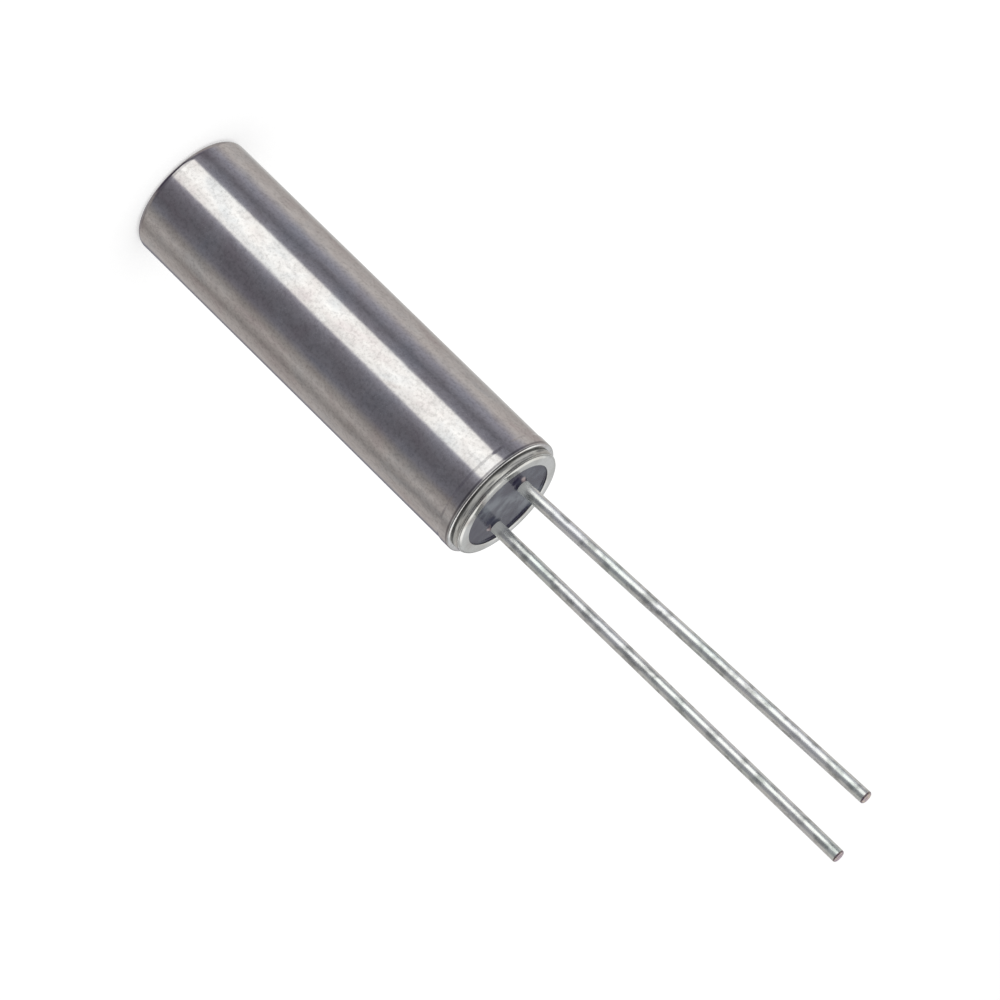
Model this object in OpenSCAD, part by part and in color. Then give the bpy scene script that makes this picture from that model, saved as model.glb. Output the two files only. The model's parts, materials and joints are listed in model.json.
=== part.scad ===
// Cylindrical quartz crystal unit with two wire leads.
// It stands on the closed end of its can: +Z runs along the can towards the lead tips, and the
// origin is at the centre of the closed end. The two leads lie in the XZ plane.

/* [Can] */
// Outside diameter of the can
can_d = 3.0; // [2.5:0.05:3.6]
// Length of the can from its closed end to its mouth
can_l = 10.0; // [8:0.1:14]
// Thickness of the drawn wall
can_wall = 0.10; // [0.08:0.01:0.16]
// Thickness of the closed end
can_end_t = 0.25; // [0.18:0.01:0.35]
// Outside corner radius of the closed end
can_end_r = 0.18; // [0.17:0.01:0.4]
// How far the mouth band stands proud of the wall
band_rise = 0.015; // [0.005:0.005:0.03]
// Length of the mouth band
band_l = 0.28; // [0.2:0.02:0.6]
// Length of the slope that leads from the wall up to the band
band_slope = 0.10; // [0.05:0.01:0.2]
// Radius on the outer edge of the mouth
lip_r = 0.05; // [0.03:0.01:0.07]

/* [Stem ring] */
// Radial clearance between the ring and the can (0 is a press fit)
ring_clear = 0; // [0:0.005:0.02]
// Radial wall of the ring
ring_wall = 0.285; // [0.2:0.005:0.32]
// Depth of the ring inside the can
ring_seat = 1.3; // [0.8:0.05:1.8]
// Height of the ring above the mouth
ring_rise = 0.22; // [0.15:0.01:0.4]
// Radius of the ring's outer shoulder
shoulder_r = 0.10; // [0.04:0.01:0.13]
// Lead-in chamfer on the ring's hidden end
ring_lead_in = 0.08; // [0.03:0.01:0.15]
// Radius of the half-round line pressed in the shoulder
line_r = 0.02; // [0.01:0.002:0.03]
// Place of the pressed line on the shoulder, in degrees from its side towards its face
line_place = 35; // [20:5:60]

/* [Glass] */
// Depth of the glass below the ring's outer face
glass_recess = 0.05; // [0.03:0.01:0.12]
// Depth of the glass inside the ring's hidden face
glass_back_recess = 0.05; // [0.02:0.01:0.12]
// Radius of the glass fillet that climbs each lead
lead_fillet = 0.08; // [0.05:0.01:0.16]
// Radius of the glass fillet against the ring
rim_fillet = 0.03; // [0.02:0.01:0.06]

/* [Leads] */
// Wire diameter
lead_d = 0.30; // [0.25:0.01:0.4]
// Distance between the lead axes at the glass
lead_pitch = 1.15; // [0.95:0.01:1.4]
// Height of lead A's tip above the mouth
lead_a_rise = 10.34; // [4:0.01:16]
// Height of lead B's tip above the mouth
lead_b_rise = 10.60; // [4:0.01:16]
// Lean of lead A towards -X, in degrees
lead_a_lean = 2.3; // [0.2:0.05:3]
// Lean of lead B towards -X, in degrees
lead_b_lean = 0.6; // [0.2:0.05:3]
// Radius of the gentle bend where a lead starts to lean
bend_r = 4; // [2:0.5:8]
// Straight stretch between the glass fillet and the bend
bend_gap = 0.03; // [0.02:0.01:0.2]
// Edge radius of the cut tips
tip_r = 0.05; // [0.02:0.01:0.1]
// Length of round wire below the glass
inner_round = 0.30; // [0.2:0.05:0.6]
// Length of the flattened end
paddle_l = 1.05; // [1:0.05:1.4]
// Width of the flattened end
paddle_w = 0.42; // [0.36:0.01:0.5]
// Thickness of the flattened end
paddle_t = 0.16; // [0.1:0.01:0.2]

/* [Quartz strip] */
// Thickness of the strip
strip_t = 0.20; // [0.12:0.01:0.4]
// Distance from a lead axis to the strip's long edge
strip_overhang = 0.33; // [0.3:0.01:0.4]
// Clearance between the strip and the can's closed end
strip_end_gap = 0.72; // [0.5:0.02:1.2]
// Clearance between the strip's end and the round wire above it
strip_wire_gap = 0.14; // [0.06:0.02:0.2]
// Length of the bevel at each end of the strip
bevel_l = 0.90; // [0.5:0.05:1.2]
// Depth of the bevel on each face
bevel_depth = 0.03; // [0.01:0.005:0.05]

/* [Electrodes] */
// Thickness of the metal films
film_t = 0.01; // [0.01:0.002:0.03]
// Distance from a pad to the strip's long edges
pad_side_margin = 0.20; // [0.1:0.05:0.35]
// Distance from a pad to the start of the bevels
pad_end_margin = 0.35; // [0.2:0.05:0.8]
// Width of the tabs that run up to the leads
tab_w = 0.40; // [0.25:0.01:0.45]
// Gap from a tab to the strip's long edge
tab_margin = 0.10; // [0.05:0.01:0.15]
// How far the front film's landing reaches past lead A's flattened end
land_reach = 0.10; // [0.05:0.01:0.2]

/* [Bonds] */
// Thickness of the conductive adhesive under a flattened lead end
bond_t = 0.02; // [0.01:0.005:0.05]
// Radius of an adhesive dot on the strip
dot_r = 0.29; // [0.24:0.01:0.3]
// Height of an adhesive dot over the strip
dot_h = 0.15; // [0.12:0.01:0.17]

/* [Hidden] */
$fn = 96;

over = 1;
can_r = can_d / 2;
bore_r = can_r - can_wall;
ring_r = bore_r - ring_clear;
ring_bottom = can_l - ring_seat;
ring_top = can_l + ring_rise;

glass_r = ring_r - ring_wall;
glass_top = ring_top - glass_recess;
glass_bottom = ring_bottom + glass_back_recess;

lead_r = lead_d / 2;
lead_x = lead_pitch / 2;
bend_z = glass_top + lead_fillet + bend_gap;
paddle_top = glass_bottom - inner_round;
paddle_bottom = paddle_top - paddle_l;
wire_bottom = paddle_top - paddle_w / 2;

strip_w = lead_pitch + 2 * strip_overhang;
strip_top = wire_bottom - strip_wire_gap;
strip_bottom = can_end_t + strip_end_gap;
film_back_y = paddle_t / 2 + bond_t;
strip_back_y = film_back_y + film_t;
strip_front_y = strip_back_y + strip_t;

pad_w = strip_w - 2 * pad_side_margin;
pad_top = strip_top - bevel_l - pad_end_margin;
pad_bottom = strip_bottom + bevel_l + pad_end_margin;
tab_x = strip_w / 2 - tab_margin - tab_w;
land_bottom = paddle_bottom - land_reach;
dot_z = (paddle_bottom + strip_top) / 2;
dot_ball_r = (dot_r * dot_r + dot_h * dot_h) / (2 * dot_h);

// Half outline of a disc r wide and h high, with its lower outer corner rounded to c
module round_foot_2d(r, h, c) {
    square([r - c, h]);
    translate([0, c]) square([r, h - c]);
    translate([r - c, c]) circle(c);
}

// The same with the upper outer corner rounded
module round_head_2d(r, h, c) {
    square([r - c, h]);
    square([r, h - c]);
    translate([r - c, h - c]) circle(c);
}

// Concave fillet of radius f in the corner at the origin, open towards +X and +Y
module fillet_2d(f) {
    difference() {
        square(f);
        translate([f, f]) circle(f);
    }
}

// The mouth band with its slope and rounded lip, as a half outline
module band_2d() {
    band_r = can_r + band_rise;
    translate([0, can_l - band_l]) round_head_2d(band_r, band_l, lip_r);
    translate([0, can_l - band_l - band_slope])
        polygon([[0, 0], [can_r, 0], [band_r, band_slope], [0, band_slope]]);
}

// Deep-drawn can, open at the top
module can() {
    color([0.62, 0.60, 0.61]) rotate_extrude() difference() {
        union() {
            round_foot_2d(can_r, can_l - band_l, can_end_r);
            band_2d();
        }
        translate([0, can_end_t])
            round_foot_2d(bore_r, can_l - can_end_t + over, can_end_r - can_wall);
    }
}

// Metal ring of the stem, pressed into the mouth of the can
module stem_ring() {
    h = ring_top - ring_bottom;
    shoulder = [ring_r - shoulder_r, h - shoulder_r];
    color([0.70, 0.70, 0.67]) translate([0, 0, ring_bottom]) rotate_extrude() difference() {
        round_head_2d(ring_r, h, shoulder_r);
        translate([0, -over]) square([glass_r, h + 2 * over]);
        translate([ring_r - ring_lead_in, 0])
            polygon([[0, 0], [over, -over], [over, over + ring_lead_in], [ring_lead_in, ring_lead_in]]);
        translate(shoulder + shoulder_r * [cos(line_place), sin(line_place)]) circle(line_r);
    }
}

// Glass that seals the leads in the ring
module glass_bead() {
    color([0.20, 0.21, 0.26]) difference() {
        union() {
            translate([0, 0, glass_bottom]) cylinder(r = glass_r, h = glass_top - glass_bottom);
            for (side = [-1, 1])
                translate([side * lead_x, 0, glass_top])
                    rotate_extrude() translate([lead_r, 0]) fillet_2d(lead_fillet);
            translate([0, 0, glass_top])
                rotate_extrude() translate([glass_r, 0]) mirror([1, 0]) fillet_2d(rim_fillet);
        }
        for (side = [-1, 1])
            translate([side * lead_x, 0, glass_bottom - over])
                cylinder(r = lead_r, h = glass_top - glass_bottom + 2 * over);
    }
}

// Flattened inner end of a lead, with rounded ends
module paddle() {
    half_w = paddle_w / 2;
    translate([0, paddle_t / 2, 0]) rotate([90, 0, 0]) linear_extrude(paddle_t) {
        translate([0, paddle_bottom + half_w]) circle(half_w);
        translate([-half_w, paddle_bottom + half_w]) square([paddle_w, paddle_l - paddle_w]);
        translate([0, paddle_top - half_w]) circle(half_w);
    }
}

// One lead on its own axis: flattened end, straight wire through the glass, bend and outer wire
module lead(lean, rise) {
    bend_x = bend_r * (1 - cos(lean));
    bend_h = bend_r * sin(lean);
    outer_l = (can_l + rise - bend_z - bend_h) / cos(lean);
    paddle();
    translate([0, 0, wire_bottom]) cylinder(r = lead_r, h = bend_z - wire_bottom);
    translate([0, 0, bend_z]) {
        translate([-bend_r, 0, 0]) rotate([90, 0, 0])
            rotate_extrude(angle = lean) translate([bend_r, 0]) circle(lead_r);
        translate([-bend_x, 0, bend_h]) rotate([0, -lean, 0])
            rotate_extrude() round_head_2d(lead_r, outer_l, tip_r);
    }
}

module lead_a() {
    color([0.66, 0.68, 0.65]) translate([-lead_x, 0, 0]) lead(lead_a_lean, lead_a_rise);
}

module lead_b() {
    color([0.66, 0.68, 0.65]) translate([lead_x, 0, 0]) lead(lead_b_lean, lead_b_rise);
}

// Places a drawing of the strip's section (depth, height) at x and extrudes it along X
module along_strip(x, w) {
    translate([x, strip_back_y, 0]) rotate([90, 0, 90]) linear_extrude(w) children();
}

// Section of the strip, thinned towards both ends, with each face moved out by grow
module strip_2d(grow = 0) {
    back = -grow;
    back_end = bevel_depth - grow;
    front = strip_t + grow;
    front_end = strip_t - bevel_depth + grow;
    polygon([[back_end, strip_bottom], [front_end, strip_bottom],
             [front, strip_bottom + bevel_l], [front, strip_top - bevel_l],
             [front_end, strip_top], [back_end, strip_top],
             [back, strip_top - bevel_l], [back, strip_bottom + bevel_l]]);
}

// Section of a film that lies on both faces and over the top end
module film_2d() {
    end_w = strip_t - 2 * bevel_depth + 2 * film_t;
    difference() {
        union() {
            strip_2d(film_t);
            translate([bevel_depth - film_t, strip_top]) square([end_w, film_t]);
        }
        strip_2d();
    }
}

// Stretch of the film between two heights, on the front or the back face
module film_on_front_2d(low, high) {
    intersection() {
        film_2d();
        translate([strip_t / 2, low]) square([over, high - low]);
    }
}

module film_on_back_2d(low, high) {
    intersection() {
        film_2d();
        translate([strip_t / 2 - over, low]) square([over, high - low]);
    }
}

module quartz_strip() {
    color([0.86, 0.90, 0.92]) along_strip(-strip_w / 2, strip_w) strip_2d();
}

// Film on the front face, whose tab folds over the top end to meet lead A at the back
module electrode_front() {
    color([0.88, 0.88, 0.90]) {
        along_strip(-pad_w / 2, pad_w) film_on_front_2d(pad_bottom, pad_top);
        along_strip(-tab_x - tab_w, tab_w) {
            film_on_front_2d(pad_top, strip_top + film_t);
            film_on_back_2d(land_bottom, strip_top + film_t);
        }
    }
}

// Film on the back face, whose tab runs straight up to lead B
module electrode_back() {
    color([0.88, 0.88, 0.90]) {
        along_strip(-pad_w / 2, pad_w) film_on_back_2d(pad_bottom, pad_top);
        along_strip(tab_x, tab_w) film_on_back_2d(pad_top, strip_top);
    }
}

// Dot of conductive adhesive round a flattened lead end, at x
module bond(x) {
    reach_y = strip_back_y + bevel_depth;
    color([0.50, 0.47, 0.42]) difference() {
        intersection() {
            translate([x, film_back_y - dot_h + dot_ball_r, dot_z]) sphere(dot_ball_r);
            translate([x - over, reach_y - 2 * over, dot_z - over]) cube(2 * over);
        }
        translate([x, 0, 0]) paddle();
        quartz_strip();
        electrode_front();
        electrode_back();
    }
}

module bond_a() {
    bond(-lead_x);
}

module bond_b() {
    bond(lead_x);
}

can();
stem_ring();
glass_bead();
lead_a();
lead_b();
quartz_strip();
electrode_front();
electrode_back();
bond_a();
bond_b();
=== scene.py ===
"""Looks of a cylindrical quartz crystal unit: a drawn metal can, its glass-sealed stem and two wire leads.

Every length is in metres. The unit stands on the closed end of its can, with its axis on +Z.
"""

import json
import math

import bmesh
import bpy
from mathutils import Matrix, Vector
from mathutils.geometry import delaunay_2d_cdt


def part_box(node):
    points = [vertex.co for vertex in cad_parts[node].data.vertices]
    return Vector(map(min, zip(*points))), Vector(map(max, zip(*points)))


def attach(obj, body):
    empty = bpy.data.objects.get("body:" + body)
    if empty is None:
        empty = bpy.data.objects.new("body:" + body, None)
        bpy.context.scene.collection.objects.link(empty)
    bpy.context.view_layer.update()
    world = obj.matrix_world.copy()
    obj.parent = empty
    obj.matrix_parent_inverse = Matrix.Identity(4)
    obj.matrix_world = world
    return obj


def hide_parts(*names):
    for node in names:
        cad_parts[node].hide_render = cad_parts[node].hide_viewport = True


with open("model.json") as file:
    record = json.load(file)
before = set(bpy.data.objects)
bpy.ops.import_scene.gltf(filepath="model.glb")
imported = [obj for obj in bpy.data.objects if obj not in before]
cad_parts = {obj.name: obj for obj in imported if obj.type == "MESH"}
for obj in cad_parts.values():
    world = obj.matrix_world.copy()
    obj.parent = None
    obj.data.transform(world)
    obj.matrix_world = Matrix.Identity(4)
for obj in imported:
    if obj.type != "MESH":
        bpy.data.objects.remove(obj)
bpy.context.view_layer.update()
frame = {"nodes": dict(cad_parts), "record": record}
MM = 0.001

# Camera, as seen from the mouth of the can
CAMERA_AZIMUTH = math.radians(-30)
CAMERA_ELEVATION = math.radians(19.3)
CAMERA_ROLL = math.radians(134.42)
CAMERA_DISTANCE = 130 * MM
CAMERA_LENS = 223.0
AIM_BELOW_MOUTH = 0.0325 * MM
AIM_LEFT_OF_MOUTH = 0.0285 * MM

# Sizes that the nodes' boxes don't give
CAN_WALL = 0.10 * MM
CAN_END_T = 0.25 * MM
CAN_END_R = 0.18 * MM
BAND_RISE = 0.015 * MM
BAND_L = 0.28 * MM
BAND_SLOPE = 0.10 * MM
LIP_R = 0.05 * MM
# The CAD mesh has flats, so its box is narrower in Y than in X: the can stays this much inside to fit both
TESSELLATION_GAP = 0.005 * MM

RING_WALL = 0.285 * MM
SHOULDER_R = 0.10 * MM
RING_EDGE_R = 0.012 * MM
RING_LEAD_IN = 0.08 * MM
LINE_R = 0.02 * MM
LINE_PLACE = 35

LEAD_FILLET = 0.08 * MM
RIM_FILLET = 0.03 * MM
LEAD_PITCH = 1.15 * MM
BEND_GAP = 0.03 * MM
BEND_R = 4 * MM
TIP_R = 0.05 * MM
PADDLE_L = 1.05 * MM
PADDLE_W = 0.42 * MM
PADDLE_T = 0.16 * MM
# Cut tip: the shear's shallow dish, as shares of the tip's rounding, and the dish's share of the cut's radius
DISH_EDGE = 0.05
DISH_DEPTH = 0.12
DISH_R = 0.93

# How finely the meshes are divided
ROUND = 256
WALL_STEPS = 8
BAND_STEPS = 10
WIRE_ROUND = 64
WIRE_STEPS = 24
BEND_STEPS = 8
TIP_STEPS = 6
PADDLE_STEPS = 8
# The flattened end's last ring stays just short of the round wire's first
PADDLE_REACH = 0.98
RIM_STEPS = 6
FILLET_STEPS = 12
FILLET_ROUND = 72
# A ring of points inside each wire, which keeps the glass's triangles even where the wire hides them
UNDER_LEAD_ROUND = 48
UNDER_LEAD_R = 0.8
# Fillet rings are packed towards what the glass climbs
FILLET_PACKING = 1.5
GLASS_GRID = 0.04 * MM
SAME_PLACE = 1e-9
SHARP_ANGLE = math.radians(40)


# ---- Node trees ----


class Graph:
    """Builds one node tree: add() makes a node, sets its inputs and links those given as sockets."""

    def __init__(self, tree):
        self.tree = tree
        tree.nodes.clear()

    def add(self, kind, inputs=None, **settings):
        node = self.tree.nodes.new(kind)
        for name, value in settings.items():
            setattr(node, name, value)
        for key, value in (inputs or {}).items():
            if isinstance(value, bpy.types.NodeSocket):
                self.tree.links.new(value, node.inputs[key])
            else:
                node.inputs[key].default_value = value
        return node

    def math(self, operation, first, second=0.0):
        return self.add("ShaderNodeMath", {0: first, 1: second}, operation=operation).outputs[0]

    def span(self, value, low, high, out_low=0.0, out_high=1.0):
        """Value taken smoothly from low..high to out_low..out_high, and held outside."""
        inputs = {"Value": value, "From Min": low, "From Max": high, "To Min": out_low, "To Max": out_high}
        return self.add("ShaderNodeMapRange", inputs, interpolation_type="SMOOTHSTEP").outputs[0]

    def ramp(self, value, stops):
        """Colour at value, from a list of (position, colour)."""
        node = self.add("ShaderNodeValToRGB", {"Fac": value})
        elements = node.color_ramp.elements
        while len(elements) < len(stops):
            elements.new(1.0)
        for element, (position, colour) in zip(elements, stops):
            element.position = position
            element.color = (*colour, 1.0)
        return node.outputs["Color"]

    def mix(self, factor, first, second, blend="MIX"):
        node = self.add("ShaderNodeMix", data_type="RGBA", blend_type=blend)
        for key, value in ((0, factor), (6, first), (7, second)):
            if isinstance(value, bpy.types.NodeSocket):
                self.tree.links.new(value, node.inputs[key])
            else:
                node.inputs[key].default_value = value if key == 0 else (*value, 1.0)
        return node.outputs[2]

    def noise(self, place, scale, detail=3.0, stretch=(1, 1, 1), roughness=0.55, distortion=0.0):
        """Noise with about one blob in 1/scale millimetres, stretched along an axis by its factor."""
        factors = tuple(scale / MM / s for s in stretch)
        spread = self.add("ShaderNodeVectorMath", {0: place, 1: factors}, operation="MULTIPLY")
        inputs = {"Vector": spread.outputs[0], "Scale": 1.0, "Detail": detail,
                  "Roughness": roughness, "Distortion": distortion}
        return self.add("ShaderNodeTexNoise", inputs).outputs["Fac"]

    def bump(self, height, depth, normal=None):
        """Normal of a relief that is depth deep where height goes from 0 to 1."""
        inputs = {"Height": height, "Distance": depth, "Strength": 1.0}
        if normal:
            inputs["Normal"] = normal
        return self.add("ShaderNodeBump", inputs).outputs[0]


def new_material(name, colour_shown):
    """A material with its graph, its surface position and its shader, whose output is already linked."""
    material = bpy.data.materials.new(name)
    material.use_nodes = True
    material.diffuse_color = (*colour_shown, 1.0)
    graph = Graph(material.node_tree)
    place = graph.add("ShaderNodeTexCoord").outputs["Object"]
    shader = graph.add("ShaderNodeBsdfPrincipled")
    graph.add("ShaderNodeOutputMaterial", {"Surface": shader.outputs[0]})
    return material, graph, place, shader


def connect(graph, shader, **sockets):
    for name, socket in sockets.items():
        graph.tree.links.new(socket, shader.inputs[name.replace("_", " ")])


# ---- Materials ----


def can_metal():
    """Drawn nickel silver: satin, pitted, faintly grained, stained warm and cool, with a painted shade line
    just below its lip.
    """
    material, graph, place, shader = new_material("drawn_nickel_silver", (0.6, 0.585, 0.585))
    shader.inputs["Metallic"].default_value = 1.0
    stains = graph.noise(place, 1.3, detail=5, stretch=(1, 1, 1.6), distortion=0.6)
    tone = graph.ramp(stains, [(0.32, (0.63, 0.59, 0.59)), (0.44, (0.68, 0.665, 0.655)),
                               (0.55, (0.71, 0.705, 0.70)), (0.68, (0.645, 0.66, 0.67))])
    grain = graph.noise(place, 7, detail=4, stretch=(1, 1, 2.5))
    pits = graph.noise(place, 14, detail=3, roughness=0.7)
    grain_tone = graph.ramp(grain, [(0.32, (0.6, 0.58, 0.6)), (0.62, (1, 1, 1))])
    shade = graph.mix(0.30, tone, grain_tone, "MULTIPLY")
    pit_tone = graph.ramp(pits, [(0.34, (0.45, 0.45, 0.45)), (0.54, (1, 1, 1))])
    colour = graph.mix(0.38, shade, pit_tone, "MULTIPLY")
    height = graph.add("ShaderNodeSeparateXYZ", {0: place}).outputs["Z"]
    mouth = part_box("can")[1].z
    # Painted shade: a dark band just below the lip's rounding, standing in for the shadow there.
    rise = graph.span(height, mouth - 0.115 * MM, mouth - 0.085 * MM, 0.0, 0.65)
    painted_lip_shade = graph.math("MULTIPLY", rise, graph.span(height, mouth - 0.06 * MM, mouth - 0.045 * MM, 1.0, 0.0))
    colour = graph.mix(painted_lip_shade, colour, (0.10, 0.09, 0.11))
    satin = graph.span(stains, 0.3, 0.7, 0.085, 0.125)
    waves = graph.bump(graph.noise(place, 0.9, detail=1, stretch=(1, 1, 2)), 0.003 * MM)
    scratches = graph.bump(grain, 0.0004 * MM, waves)
    connect(graph, shader, Base_Color=colour, Roughness=satin, Normal=scratches)
    return material


def ring_metal():
    """Tinned ring of the stem: mottled sheen on top, a dull streaked flank, and painted shade in a dark line
    just above the can's mouth.
    """
    material, graph, place, shader = new_material("tinned_ring", (0.62, 0.62, 0.60))
    mottle = graph.noise(place, 1.1, detail=5, distortion=0.4)
    top = graph.ramp(mottle, [(0.34, (0.39, 0.36, 0.35)), (0.46, (0.53, 0.53, 0.51)),
                              (0.60, (0.67, 0.67, 0.66))])
    height = graph.add("ShaderNodeSeparateXYZ", {0: place}).outputs["Z"]
    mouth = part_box("can")[1].z
    flank = graph.span(height, mouth + 0.10 * MM, mouth + 0.15 * MM, 1.0, 0.0)
    drag = graph.noise(place, 16, detail=4, stretch=(9, 9, 1))
    dull = graph.ramp(drag, [(0.38, (0.28, 0.28, 0.28)), (0.48, (0.62, 0.62, 0.58)),
                             (0.62, (0.86, 0.86, 0.82))])
    # Painted shade: the flank goes nearly black just above the can's mouth, in the gap between can and ring.
    painted_gap_shade = graph.span(height, mouth + 0.015 * MM, mouth + 0.05 * MM, 0.8, 0.0)
    dull = graph.mix(painted_gap_shade, dull, (0.06, 0.06, 0.06))
    sheen = graph.span(mottle, 0.3, 0.7, 0.24, 0.16)
    relief = graph.bump(graph.noise(place, 6, detail=2), 0.002 * MM)
    colour = graph.mix(flank, top, dull)
    metallic = graph.span(flank, 0, 1, 1.0, 0.45)
    roughness = graph.math("ADD", sheen, graph.math("MULTIPLY", flank, 0.25))
    connect(graph, shader, Base_Color=colour, Metallic=metallic, Roughness=roughness, Normal=relief)
    return material


def lead_metal():
    """Dip-tinned wire: bright but milky, finely blotched where the tin ran, with a matt collar at the glass
    made pale partly as a painted highlight.
    """
    material, graph, place, shader = new_material("tinned_wire", (0.58, 0.60, 0.575))
    shader.inputs["Specular IOR Level"].default_value = 0.3
    patches = graph.noise(place, 1.6, detail=4, stretch=(1, 1, 2.5))
    blotches = graph.noise(place, 5, detail=4, stretch=(1, 1, 1.5))
    tone = graph.ramp(patches, [(0.34, (0.78, 0.85, 0.82)), (0.50, (0.88, 0.90, 0.88)),
                                (0.66, (0.85, 0.87, 0.89))])
    blotch_tone = graph.ramp(blotches, [(0.34, (0.42, 0.43, 0.42)), (0.52, (1, 1, 1))])
    colour = graph.mix(0.75, tone, blotch_tone, "MULTIPLY")
    height = graph.add("ShaderNodeSeparateXYZ", {0: place}).outputs["Z"]
    glass_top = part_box("glass_bead")[1].z
    # Matt collar at the glass; its pale colour is partly a painted highlight on the wire's base.
    nearness = graph.span(height, glass_top, glass_top + 0.50 * MM, 1.0, 0.0)
    matt_collar_and_highlight = graph.math("MULTIPLY", graph.math("POWER", nearness, 2.0), 0.6)
    colour = graph.mix(matt_collar_and_highlight, colour, (0.94, 0.96, 0.92))
    sheen = graph.math("ADD", graph.span(patches, 0.3, 0.7, 0.22, 0.30), graph.math("MULTIPLY", matt_collar_and_highlight, 0.2))
    relief = graph.bump(blotches, 0.003 * MM)
    connect(graph, shader, Base_Color=colour, Metallic=graph.span(matt_collar_and_highlight, 0, 0.6, 0.8, 0.3),
            Roughness=sheen, Normal=relief)
    return material


def cut_metal():
    """Cut end of a lead, where the pinkish iron-nickel core shows."""
    material, graph, place, shader = new_material("cut_core", (0.50, 0.43, 0.43))
    shader.inputs["Metallic"].default_value = 1.0
    marks = graph.noise(place, 9, detail=3)
    colour = graph.ramp(marks, [(0.38, (0.36, 0.28, 0.36)), (0.62, (0.54, 0.47, 0.40))])
    relief = graph.bump(marks, 0.006 * MM)
    connect(graph, shader, Base_Color=colour, Roughness=graph.span(marks, 0.3, 0.7, 0.35, 0.5), Normal=relief)
    return material


def bead_glass():
    """Dark blue-grey sealing glass: cloudy, with a painted reflection that makes it paler between the wires,
    and a pinkish painted highlight round each wire.
    """
    material, graph, place, shader = new_material("sealing_glass", (0.09, 0.095, 0.12))
    shader.inputs["IOR"].default_value = 1.52
    shader.inputs["Specular IOR Level"].default_value = 0.32
    clouds = graph.noise(place, 2.2, detail=3, distortion=0.2)
    colour = graph.ramp(clouds, [(0.34, (0.028, 0.023, 0.050)), (0.50, (0.046, 0.046, 0.075)),
                                 (0.64, (0.085, 0.092, 0.125))])
    sides = graph.add("ShaderNodeSeparateXYZ", {0: place}).outputs
    # Painted reflection: paler between the wires, darker towards the rim beside them.
    middle = graph.span(graph.math("ABSOLUTE", sides["X"]), 0.08 * MM, 0.42 * MM, 1.0, 0.0)
    painted_reflection_patch = graph.math("MULTIPLY", middle, graph.span(clouds, 0.40, 0.58, 0.25, 1.0))
    colour = graph.mix(painted_reflection_patch, colour, (0.165, 0.180, 0.210))
    # Painted highlight: pinkish spots in a ring round each wire, where its glass fillet would catch the light.
    aside = graph.math("SUBTRACT", graph.math("ABSOLUTE", sides["X"]), LEAD_PITCH / 2)
    squares = graph.math("ADD", graph.math("POWER", aside, 2.0), graph.math("POWER", sides["Y"], 2.0))
    painted_highlight_ring = graph.span(graph.math("SQRT", squares), 0.17 * MM, 0.22 * MM, 1.0, 0.0)
    painted_highlight_spots = graph.span(graph.noise(place, 3.5, detail=1), 0.54, 0.62)
    colour = graph.mix(graph.math("MULTIPLY", painted_highlight_ring, painted_highlight_spots), colour, (0.52, 0.43, 0.43))
    polish = graph.span(clouds, 0.3, 0.7, 0.12, 0.22)
    relief = graph.bump(graph.noise(place, 2.2, detail=2), 0.010 * MM)
    connect(graph, shader, Base_Color=colour, Roughness=polish, Normal=relief)
    return material


def lapped_quartz():
    """Lapped and etched quartz: clear, with a fine frost."""
    material, graph, place, shader = new_material("lapped_quartz", (0.86, 0.90, 0.92))
    shader.inputs["IOR"].default_value = 1.54
    shader.inputs["Transmission Weight"].default_value = 1.0
    frost = graph.noise(place, 20, detail=4)
    colour = graph.ramp(frost, [(0.3, (0.86, 0.90, 0.92)), (0.7, (0.93, 0.96, 0.97))])
    connect(graph, shader, Base_Color=colour, Roughness=graph.span(frost, 0.3, 0.7, 0.25, 0.40),
            Normal=graph.bump(frost, 0.002 * MM))
    return material


def silver_film():
    """Evaporated silver: mirror bright, with a faint haze."""
    material, graph, place, shader = new_material("silver_film", (0.88, 0.88, 0.90))
    shader.inputs["Metallic"].default_value = 1.0
    haze = graph.noise(place, 5, detail=3)
    colour = graph.ramp(haze, [(0.3, (0.84, 0.84, 0.85)), (0.7, (0.92, 0.92, 0.93))])
    connect(graph, shader, Base_Color=colour, Roughness=graph.span(haze, 0.3, 0.7, 0.10, 0.22))
    return material


def silver_adhesive():
    """Silver-filled adhesive: dull grey, grainy with flakes."""
    material, graph, place, shader = new_material("silver_adhesive", (0.50, 0.47, 0.42))
    shader.inputs["Metallic"].default_value = 0.6
    flakes = graph.noise(place, 40, detail=4)
    colour = graph.ramp(flakes, [(0.35, (0.40, 0.38, 0.34)), (0.65, (0.60, 0.57, 0.52))])
    connect(graph, shader, Base_Color=colour, Roughness=graph.span(flakes, 0.3, 0.7, 0.5, 0.7),
            Normal=graph.bump(flakes, 0.004 * MM))
    return material


# ---- Outlines and meshes ----


def arc(centre, radius, start, end, steps=12):
    """Points on an arc from start to end, in degrees, both included."""
    angles = [math.radians(start + (end - start) * i / steps) for i in range(steps + 1)]
    return [(centre[0] + radius * math.cos(a), centre[1] + radius * math.sin(a)) for a in angles]


def ease(share):
    """Smooth step from 0 to 1."""
    return share * share * (3 - 2 * share)


def finish_piece(name, mesh, materials, node):
    """Puts a mesh in the scene as a piece on the one body, with smooth faces between sharp edges."""
    for material in materials:
        mesh.materials.append(material)
    mesh.shade_smooth()
    mesh.set_sharp_from_angle(angle=SHARP_ANGLE)
    piece = bpy.data.objects.new(name, mesh)
    bpy.context.scene.collection.objects.link(piece)
    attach(piece, "root")
    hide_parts(node)
    return piece


def add_ring(verts, points):
    """Adds a loop of points, or one point where they coincide, and gives their indices."""
    first = len(verts)
    verts.extend(points)
    return list(range(first, len(verts)))


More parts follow.
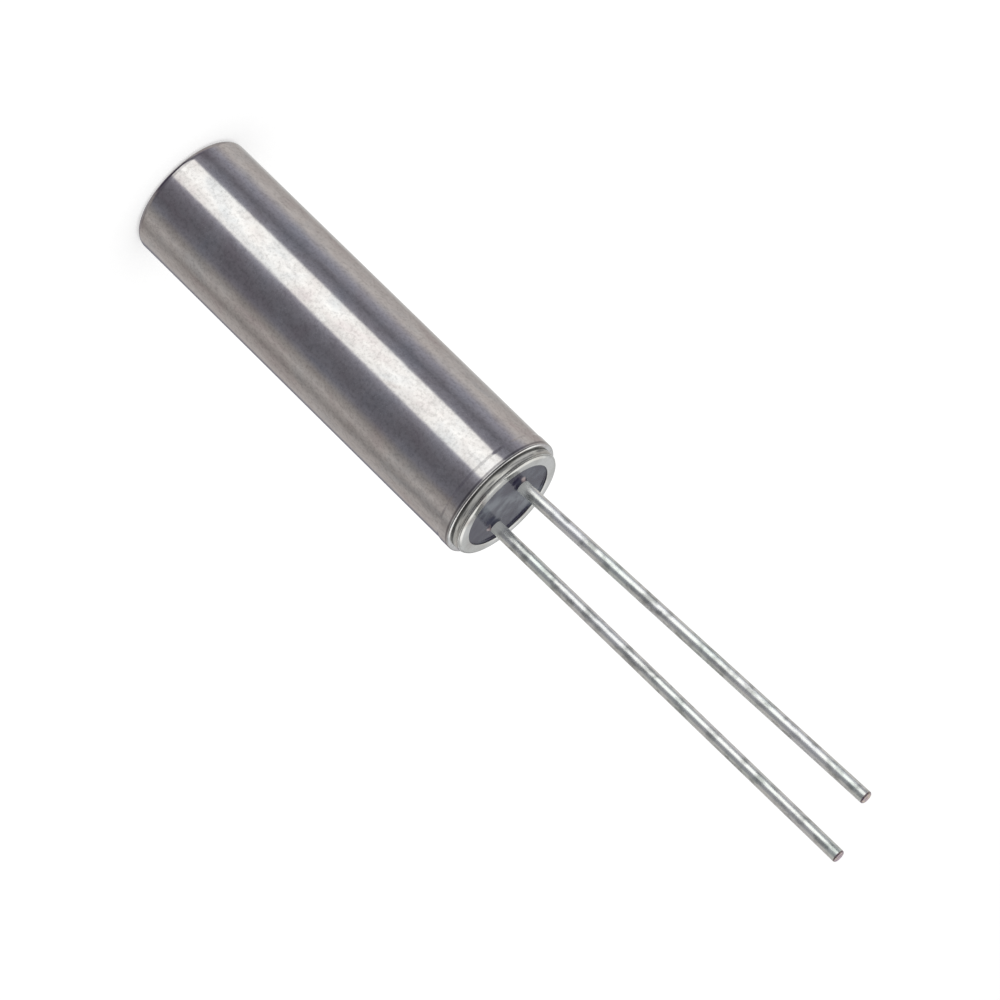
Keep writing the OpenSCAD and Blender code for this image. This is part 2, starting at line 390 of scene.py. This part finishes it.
def bridge(low, high):
    """Faces between two loops of indices; a loop of one is a pole."""
    count = max(len(low), len(high))
    if len(low) == 1:
        return [(low[0], high[i], high[(i + 1) % count]) for i in range(count)]
    if len(high) == 1:
        return [(low[i], high[0], low[(i + 1) % count]) for i in range(count)]
    return [(low[i], high[i], high[(i + 1) % count], low[(i + 1) % count]) for i in range(count)]


def lathe_mesh(name, outline, closed=False):
    """Surface of revolution about Z through (radius, height) points. A closed outline joins its ends."""
    verts, faces, loops = [], [], []
    for radius, height in outline:
        if radius == 0:
            loops.append(add_ring(verts, [(0, 0, height)]))
            continue
        angles = [math.tau * i / ROUND for i in range(ROUND)]
        loops.append(add_ring(verts, [(radius * math.cos(a), radius * math.sin(a), height) for a in angles]))
    for low, high in zip(loops, loops[1:]):
        faces += bridge(low, high)
    if closed:
        faces += bridge(loops[-1], loops[0])
    return solid_mesh(name, verts, faces)


def solid_mesh(name, verts, faces):
    """Mesh with its normals turned outwards."""
    mesh = bpy.data.meshes.new(name)
    mesh.from_pydata([tuple(v) for v in verts], [], faces)
    made = bmesh.new()
    made.from_mesh(mesh)
    bmesh.ops.recalc_face_normals(made, faces=made.faces)
    made.to_mesh(mesh)
    made.free()
    return mesh


# ---- The can ----


def make_can():
    """Drawn can: rounded closed end, straight wall, and a mouth band with a rounded lip."""
    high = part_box("can")[1]
    band_r = high.x - TESSELLATION_GAP
    wall_r = band_r - BAND_RISE
    bore_r = wall_r - CAN_WALL
    mouth = high.z
    outline = [(0, 0)]
    outline += arc((wall_r - CAN_END_R, CAN_END_R), CAN_END_R, -90, 0)
    outline += [(wall_r, mouth * i / WALL_STEPS) for i in range(1, WALL_STEPS)]
    for i in range(BAND_STEPS + 1):
        share = i / BAND_STEPS
        height = mouth - BAND_L - BAND_SLOPE * (1 - share)
        outline.append((wall_r + BAND_RISE * ease(share), height))
    outline += arc((band_r - LIP_R, mouth - LIP_R), LIP_R, 0, 90, 8)
    outline += [(bore_r, mouth)]
    inner_r = CAN_END_R - CAN_WALL
    outline += arc((bore_r - inner_r, CAN_END_T + inner_r), inner_r, 0, -90, 6)
    outline += [(0, CAN_END_T)]
    return finish_piece("drawn_can", lathe_mesh("drawn_can", outline), [can_metal()], "can")


# ---- The stem: ring and glass ----


def make_ring():
    """Pressed ring: rounded shoulder, a fine line pressed in its face, and a straight opening."""
    low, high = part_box("stem_ring")
    outer = high.x
    inner = outer - RING_WALL
    shoulder = (outer - SHOULDER_R, high.z - SHOULDER_R)
    line = (shoulder[0] + SHOULDER_R * math.cos(math.radians(LINE_PLACE)),
            shoulder[1] + SHOULDER_R * math.sin(math.radians(LINE_PLACE)))
    half_line = 2 * math.degrees(math.asin(LINE_R / SHOULDER_R / 2))
    outline = arc(shoulder, SHOULDER_R, 0, LINE_PLACE - half_line, 6)
    outline += arc(line, LINE_R, LINE_PLACE - half_line / 2 - 90, LINE_PLACE + half_line / 2 - 270, 8)[1:-1]
    outline += arc(shoulder, SHOULDER_R, LINE_PLACE + half_line, 90, 10)
    outline += arc((inner + RING_EDGE_R, high.z - RING_EDGE_R), RING_EDGE_R, 90, 180, 4)
    outline += [(inner, low.z), (outer - RING_LEAD_IN, low.z), (outer, low.z + RING_LEAD_IN)]
    mesh = lathe_mesh("stem_ring_face", outline, closed=True)
    return finish_piece("pressed_ring", mesh, [ring_metal()], "stem_ring")


def climb(distance, fillet):
    """Height of a glass fillet at a distance from what it climbs."""
    if distance >= fillet:
        return 0.0
    reach = fillet - max(distance, 0.0)
    return fillet - math.sqrt(fillet * fillet - reach * reach)


def circle_points(centre, radius, count):
    angles = [math.tau * i / count for i in range(count)]
    return [Vector((centre + radius * math.cos(a), radius * math.sin(a))) for a in angles]


def glass_plan(radius, lead_r, lead_centres):
    """Points of the glass surface seen from above: fine rings at the rim and the leads, a grid between."""
    rim_rings = [radius - RIM_FILLET * (i / RIM_STEPS) ** FILLET_PACKING for i in range(RIM_STEPS + 1)]
    points = [p for r in rim_rings for p in circle_points(0, r, ROUND)]
    for centre in lead_centres:
        for i in range(FILLET_STEPS + 1):
            away = LEAD_FILLET * (i / FILLET_STEPS) ** FILLET_PACKING
            points += circle_points(centre, lead_r + away, FILLET_ROUND)
        points += circle_points(centre, lead_r * UNDER_LEAD_R, UNDER_LEAD_ROUND)
    step = GLASS_GRID
    count = int(radius / step)
    for i in range(-count, count + 1):
        for j in range(-count, count + 1):
            p = Vector((i * step, j * step))
            clear = min((p - Vector((c, 0))).length for c in lead_centres) > lead_r + LEAD_FILLET + step / 2
            if clear and p.length < radius - RIM_FILLET - step / 2:
                points.append(p)
    return points


def make_glass(lead_centres):
    """Glass bead: its face climbs the ring and both leads in small fillets."""
    lead_r = frame["record"]["mounts"][0]["dims"]["r_mm"] * MM
    low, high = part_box("glass_bead")
    radius = high.x
    top = high.z - LEAD_FILLET
    plan = glass_plan(radius, lead_r, lead_centres)
    flat = delaunay_2d_cdt(plan, [], [], 0, SAME_PLACE)
    verts = []
    for p in flat[0]:
        rise = climb(radius - p.length, RIM_FILLET)
        for centre in lead_centres:
            rise = max(rise, climb((p - Vector((centre, 0))).length - lead_r, LEAD_FILLET))
        verts.append((p.x, p.y, top + rise))
    faces = [tuple(f) for f in flat[2]]
    rim = [i for i, p in enumerate(flat[0]) if p.length > radius - SAME_PLACE]
    rim.sort(key=lambda i: math.atan2(flat[0][i].y, flat[0][i].x))
    foot = add_ring(verts, [(flat[0][i].x, flat[0][i].y, low.z) for i in rim])
    pole = add_ring(verts, [(0, 0, low.z)])
    faces += bridge(rim, foot) + bridge(foot, pole)
    mesh = solid_mesh("sealing_glass", verts, faces)
    return finish_piece("sealing_glass", mesh, [bead_glass()], "glass_bead")


# ---- The leads ----


def lead_axis(node, side, lean):
    """Stations along a lead from the top of its flattened end to the end of its bend: (point, lean there)."""
    glass_low, glass_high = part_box("glass_bead")
    x = side * LEAD_PITCH / 2
    bend_z = glass_high.z + BEND_GAP
    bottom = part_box(node)[0].z
    paddle_top = bottom + PADDLE_L
    stations = []
    for z in (paddle_top, glass_low.z, bend_z):
        stations.append((Vector((x, 0, z)), 0.0))
    for i in range(1, BEND_STEPS + 1):
        a = lean * i / BEND_STEPS
        stations.append((Vector((x - BEND_R * (1 - math.cos(a)), 0, bend_z + BEND_R * math.sin(a))), a))
    return stations


def make_lead(name, node, side, pin, materials):
    """Wire lead: flattened inner end, straight through the glass, a gentle bend, and a cut tip."""
    axis = Vector(pin["axis"])
    lean = math.atan2(-axis.x, axis.z)
    wire_r = pin["dims"]["r_mm"] * MM
    low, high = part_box(node)
    tip_z = high.z - (wire_r - TIP_R) * math.sin(lean) - TIP_R * (1 - math.cos(lean))
    stations = lead_axis(node, side, lean)
    start = stations[-1][0]
    reach = (tip_z - start.z) / math.cos(lean)
    along = [start + axis * ((reach - TIP_R) * i / WIRE_STEPS) for i in range(1, WIRE_STEPS + 1)]
    rings = flat_end_rings(stations[0][0].x, low.z, wire_r)
    rings += [(p, a, wire_r, wire_r) for p, a in stations]
    rings += [(p, lean, wire_r, wire_r) for p in along]
    for i in range(1, TIP_STEPS + 1):
        a = math.radians(90 * i / TIP_STEPS)
        half = wire_r - TIP_R * (1 - math.cos(a))
        rings.append((along[-1] + axis * TIP_R * math.sin(a), lean, half, half))
    end = along[-1] + axis * TIP_R
    core = wire_r - TIP_R
    rings.append((end - axis * TIP_R * DISH_EDGE, lean, core * DISH_R, core * DISH_R))
    return sweep_lead(name, node, rings, end - axis * TIP_R * DISH_DEPTH, materials)


def flat_end_rings(x, bottom, wire_r):
    """Rings of the flattened end, from its rounded foot to where it blends into the round wire."""
    half_w, half_t = PADDLE_W / 2, PADDLE_T / 2
    rings = []
    for i in range(1, PADDLE_STEPS + 1):
        a = math.radians(90 * i / PADDLE_STEPS)
        rings.append((Vector((x, 0, bottom + half_w * (1 - math.cos(a)))), 0.0, half_w * math.sin(a), half_t))
    for i in range(PADDLE_STEPS + 1):
        share = i / PADDLE_STEPS
        z = bottom + PADDLE_L - PADDLE_W + PADDLE_W * share * PADDLE_REACH
        grown = ease(share)
        wide, thick = half_w + (wire_r - half_w) * grown, half_t + (wire_r - half_t) * grown
        rings.append((Vector((x, 0, z)), 0.0, wide, thick))
    return rings


def sweep_lead(name, node, rings, tip, materials):
    """Joins elliptic rings (centre, lean, half width, half thickness) into one wire, closed at both ends."""
    verts, faces, loops = [], [], []
    for centre, lean, half_w, half_t in rings:
        across = Vector((math.cos(lean), 0, math.sin(lean)))
        points = []
        for i in range(WIRE_ROUND):
            a = math.tau * i / WIRE_ROUND
            points.append(centre + across * half_w * math.cos(a) + Vector((0, half_t * math.sin(a), 0)))
        loops.append(add_ring(verts, points))
    foot = add_ring(verts, [rings[0][0]])
    head = add_ring(verts, [tip])
    loops = [foot] + loops + [head]
    for low, high in zip(loops, loops[1:]):
        faces += bridge(low, high)
    mesh = solid_mesh(name, verts, faces)
    piece = finish_piece(name, mesh, materials, node)
    # The tip's rounding, the rim of its dish and the dish itself show the core
    for polygon in mesh.polygons[-(TIP_STEPS + 2) * WIRE_ROUND:]:
        polygon.material_index = 1
    return piece


# ---- Pieces sealed inside, whose CAD shapes stay ----


def dress_inner_parts():
    film = silver_film()
    glue = silver_adhesive()
    finishes = {"quartz_strip": lapped_quartz(), "electrode_front": film, "electrode_back": film,
                "bond_a": glue, "bond_b": glue}
    for node, material in finishes.items():
        slots = frame["nodes"][node].material_slots
        slots[0].material = material


# ---- Camera, floor and light ----

FLOOR_HALF = 1.5
FLOOR_COLOUR = (0.80, 0.80, 0.80, 1)
GLOW_NEAR, GLOW_NEAR_LEVEL = 80 * MM, 0.46
GLOW_FAR, GLOW_FAR_LEVEL = 400 * MM, 0.52

LIGHT_STRENGTH = 0.6
SOFT_BOX_DISTANCE, SOFT_BOX_HEIGHT = 40 * MM, 160 * MM
SOFT_BOX_SIZE = (110 * MM, 110 * MM)
SOFT_BOX_ENERGY = 0.06
STRIP_AZIMUTH = math.radians(-58)
STRIP_DISTANCE, STRIP_HEIGHT = 22 * MM, 7.5 * MM
STRIP_SIZE = (11 * MM, 11.6 * MM)
STRIP_ENERGY = 3.0e-4


def camera_axes():
    """Unit vectors: along the floor towards the camera, along it to the right, and up to the camera."""
    towards = Vector((math.sin(CAMERA_AZIMUTH), -math.cos(CAMERA_AZIMUTH), 0))
    sideways = Vector((math.cos(CAMERA_AZIMUTH), math.sin(CAMERA_AZIMUTH), 0))
    back = towards * math.cos(CAMERA_ELEVATION) + Vector((0, 0, math.sin(CAMERA_ELEVATION)))
    return towards, sideways, back


def make_camera():
    sideways, back = camera_axes()[1:]
    upright = back.cross(sideways)
    right = sideways * math.cos(CAMERA_ROLL) + upright * math.sin(CAMERA_ROLL)
    up = back.cross(right)
    mouth = Vector((0, 0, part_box("can")[1].z))
    aim = mouth - up * AIM_BELOW_MOUTH - right * AIM_LEFT_OF_MOUTH
    data = bpy.data.cameras.new("camera")
    data.lens = CAMERA_LENS
    data.clip_start = CAMERA_DISTANCE / 20
    data.clip_end = CAMERA_DISTANCE * 40
    camera = bpy.data.objects.new("camera", data)
    turn = Matrix((right, up, back)).transposed().to_4x4()
    camera.matrix_world = Matrix.Translation(aim + back * CAMERA_DISTANCE) @ turn
    bpy.context.scene.collection.objects.link(camera)
    bpy.context.scene.camera = camera


def seen_ray(graph):
    """1 for rays that look at the background: from the camera, in a reflection, or through glass."""
    path = graph.add("ShaderNodeLightPath").outputs
    seen = graph.math("MAXIMUM", path["Is Camera Ray"], path["Is Glossy Ray"])
    return graph.math("MAXIMUM", seen, path["Is Transmission Ray"])


def make_floor():
    """Plain floor, seen as white, that keeps the object's shadow and glows a little more far away."""
    corners = [(x * FLOOR_HALF, y * FLOOR_HALF, 0) for x, y in ((-1, -1), (1, -1), (1, 1), (-1, 1))]
    mesh = bpy.data.meshes.new("floor")
    mesh.from_pydata(corners, [], [(0, 1, 2, 3)])
    material = bpy.data.materials.new("floor")
    material.use_nodes = True
    graph = Graph(material.node_tree)
    paper = graph.add("ShaderNodeBsdfDiffuse", {"Color": FLOOR_COLOUR})
    place = graph.add("ShaderNodeTexCoord").outputs["Object"]
    away = graph.add("ShaderNodeVectorMath", {0: place}, operation="LENGTH").outputs["Value"]
    level = graph.span(away, GLOW_NEAR, GLOW_FAR, GLOW_NEAR_LEVEL, GLOW_FAR_LEVEL)
    glow = graph.add("ShaderNodeEmission", {"Strength": graph.math("MULTIPLY", seen_ray(graph), level)})
    both = graph.add("ShaderNodeAddShader", {0: paper.outputs[0], 1: glow.outputs[0]})
    graph.add("ShaderNodeOutputMaterial", {"Surface": both.outputs[0]})
    mesh.materials.append(material)
    floor = bpy.data.objects.new("floor", mesh)
    floor.visible_glossy = False
    bpy.context.scene.collection.objects.link(floor)


# What upright metal reflects, fixed in the object's frame for the photograph's view: where each card begins or
# ends, as (azimuth from the photograph's camera in degrees, tone, tint)
WARM = (1.0, 0.93, 0.90)
COOL = (0.97, 0.95, 1.10)
PAPER = (1.0, 0.99, 0.97)
STUDIO = [
    (-180, 0.50, WARM), (-165, 0.62, PAPER), (-145, 0.50, WARM), (-107, 0.64, WARM), (-88, 0.39, COOL),
    (-68, 0.20, COOL), (-48, 0.35, COOL), (-45, 1.30, PAPER), (-25, 1.45, PAPER), (-2, 1.22, PAPER),
    (1, 0.45, COOL), (7, 0.31, COOL), (14, 0.23, COOL), (30, 0.175, COOL), (44, 0.175, COOL), (57, 0.22, COOL),
    (70, 0.34, WARM), (86, 0.53, WARM), (100, 0.39, WARM), (107, 0.35, WARM), (120, 0.47, WARM),
    (142, 0.54, WARM), (150, 0.54, WARM), (160, 0.25, COOL), (174, 0.25, COOL), (180, 0.50, WARM),
]
# Where one zone turns into the next, as the upward part of the reflected direction
NADIR_ZONE = (-0.97, -0.92)
LOW_ZONE = (-0.60, -0.45)
BELT_ZONE = (-0.17, -0.13)
UPPER_ZONE = (0.12, 0.18)
CEILING_ZONE = (0.35, 0.60)
ZENITH_ZONE = (0.93, 0.98)
BELT_TONE = (0.50, 0.50, 0.48)
UPPER_TONE = (0.15, 0.15, 0.16)
BACK_TONE = (0.66, 0.67, 0.68)
CEILING_TONE = (1.35, 1.34, 1.31)
ZENITH_TONE = (0.9, 0.9, 0.9)
UNDER_TONE = (0.07, 0.06, 0.09)
BACK_HEIGHT = math.radians(30)
BACK_REACH = math.radians(58)
BACK_BLUR = 0.04


def tinted(tone, tint):
    return tuple(tone * t for t in tint)


def seen_world(graph):
    """What reflections show: upright cards, dark zones above them and at the nadir, a bright wall behind."""
    direction = graph.add("ShaderNodeTexCoord").outputs["Generated"]
    turn = (0, 0, math.pi / 2 - CAMERA_AZIMUTH)
    turned = graph.add("ShaderNodeVectorRotate", {"Vector": direction, "Rotation": turn},
                       rotation_type="EULER_XYZ")
    height = graph.add("ShaderNodeSeparateXYZ", {0: turned.outputs[0]}).outputs["Z"]
    azimuth = graph.add("ShaderNodeTexGradient", {"Vector": turned.outputs[0]}, gradient_type="RADIAL")
    stops = [(angle / 360 + 0.5, tinted(tone, tint)) for angle, tone, tint in STUDIO]
    cards = graph.ramp(azimuth.outputs["Fac"], stops)
    low = graph.span(height, *LOW_ZONE, 0.3, 0.0)
    shown = graph.mix(low, cards, UNDER_TONE)
    shown = graph.mix(graph.span(height, *BELT_ZONE, 0.0, 0.6), shown, BELT_TONE)
    shown = graph.mix(graph.span(height, *UPPER_ZONE), shown, UPPER_TONE)
    towards = camera_axes()[0]
    back = -towards * math.cos(BACK_HEIGHT) + Vector((0, 0, math.sin(BACK_HEIGHT)))
    product = graph.add("ShaderNodeVectorMath", {0: direction, 1: back}, operation="DOT_PRODUCT")
    edge = math.cos(BACK_REACH)
    behind = graph.span(product.outputs["Value"], edge - BACK_BLUR, edge + BACK_BLUR)
    wall = graph.mix(graph.span(height, *CEILING_ZONE), BACK_TONE, CEILING_TONE)
    above = graph.math("MULTIPLY", behind, graph.span(height, *UPPER_ZONE))
    shown = graph.mix(above, shown, wall)
    shown = graph.mix(graph.span(height, *ZENITH_ZONE), shown, ZENITH_TONE)
    return graph.mix(graph.span(height, *NADIR_ZONE), UNDER_TONE, shown)


def make_world():
    """Plain white surroundings, which light the object at a lower strength, and the studio for reflections."""
    world = bpy.data.worlds.new("studio")
    world.use_nodes = True
    world.cycles.sampling_method = "NONE"
    bpy.context.scene.world = world
    graph = Graph(world.node_tree)
    is_glossy = graph.add("ShaderNodeLightPath").outputs["Is Glossy Ray"]
    colour = graph.mix(is_glossy, (1, 1, 1), seen_world(graph))
    levels = {"Value": seen_ray(graph), "To Min": LIGHT_STRENGTH, "To Max": 1.0}
    strength = graph.add("ShaderNodeMapRange", levels).outputs[0]
    light = graph.add("ShaderNodeBackground", {"Color": colour, "Strength": strength})
    graph.add("ShaderNodeOutputWorld", {"Surface": light.outputs[0]})


def around(azimuth, distance, height):
    """Place at an azimuth from the camera, counted anticlockwise from above."""
    towards, sideways = camera_axes()[:2]
    flat = towards * math.cos(azimuth) + sideways * math.sin(azimuth)
    return flat * distance + Vector((0, 0, height))


def add_lamp(name, place, target, size, energy):
    """Area lamp at place, facing target."""
    data = bpy.data.lights.new(name, "AREA")
    data.shape = "RECTANGLE"
    data.size, data.size_y = size
    data.energy = energy
    lamp = bpy.data.objects.new(name, data)
    lamp.location = place
    lamp.rotation_euler = (target - place).to_track_quat("-Z", "Y").to_euler()
    bpy.context.scene.collection.objects.link(lamp)
    return lamp


def make_lamps(leads):
    """A large soft box overhead, and a small strip beside the leads that only their gloss shows."""
    place = around(0, SOFT_BOX_DISTANCE, SOFT_BOX_HEIGHT)
    overhead = add_lamp("soft_box", place, Vector((0, 0, 0)), SOFT_BOX_SIZE, SOFT_BOX_ENERGY)
    overhead.visible_glossy = False
    place = around(STRIP_AZIMUTH, STRIP_DISTANCE, STRIP_HEIGHT)
    strip = add_lamp("lead_strip", place, Vector((0, 0, STRIP_HEIGHT)), STRIP_SIZE, STRIP_ENERGY)
    strip.visible_diffuse = False
    strip.visible_camera = False
    receivers = bpy.data.collections.new("strip_lights")
    for lead in leads:
        receivers.objects.link(lead)
    strip.light_linking.receiver_collection = receivers


def make_leads():
    pins = {mount["name"]: mount for mount in frame["record"]["mounts"]}
    materials = [lead_metal(), cut_metal()]
    return [make_lead("wire_lead_a", "lead_a", -1, pins["lead_a_pin"], materials),
            make_lead("wire_lead_b", "lead_b", 1, pins["lead_b_pin"], materials)]


bpy.context.scene.view_settings.view_transform = "Standard"
make_camera()
make_world()
make_floor()
make_can()
make_ring()
make_lamps(make_leads())
make_glass((-LEAD_PITCH / 2, LEAD_PITCH / 2))
dress_inner_parts()
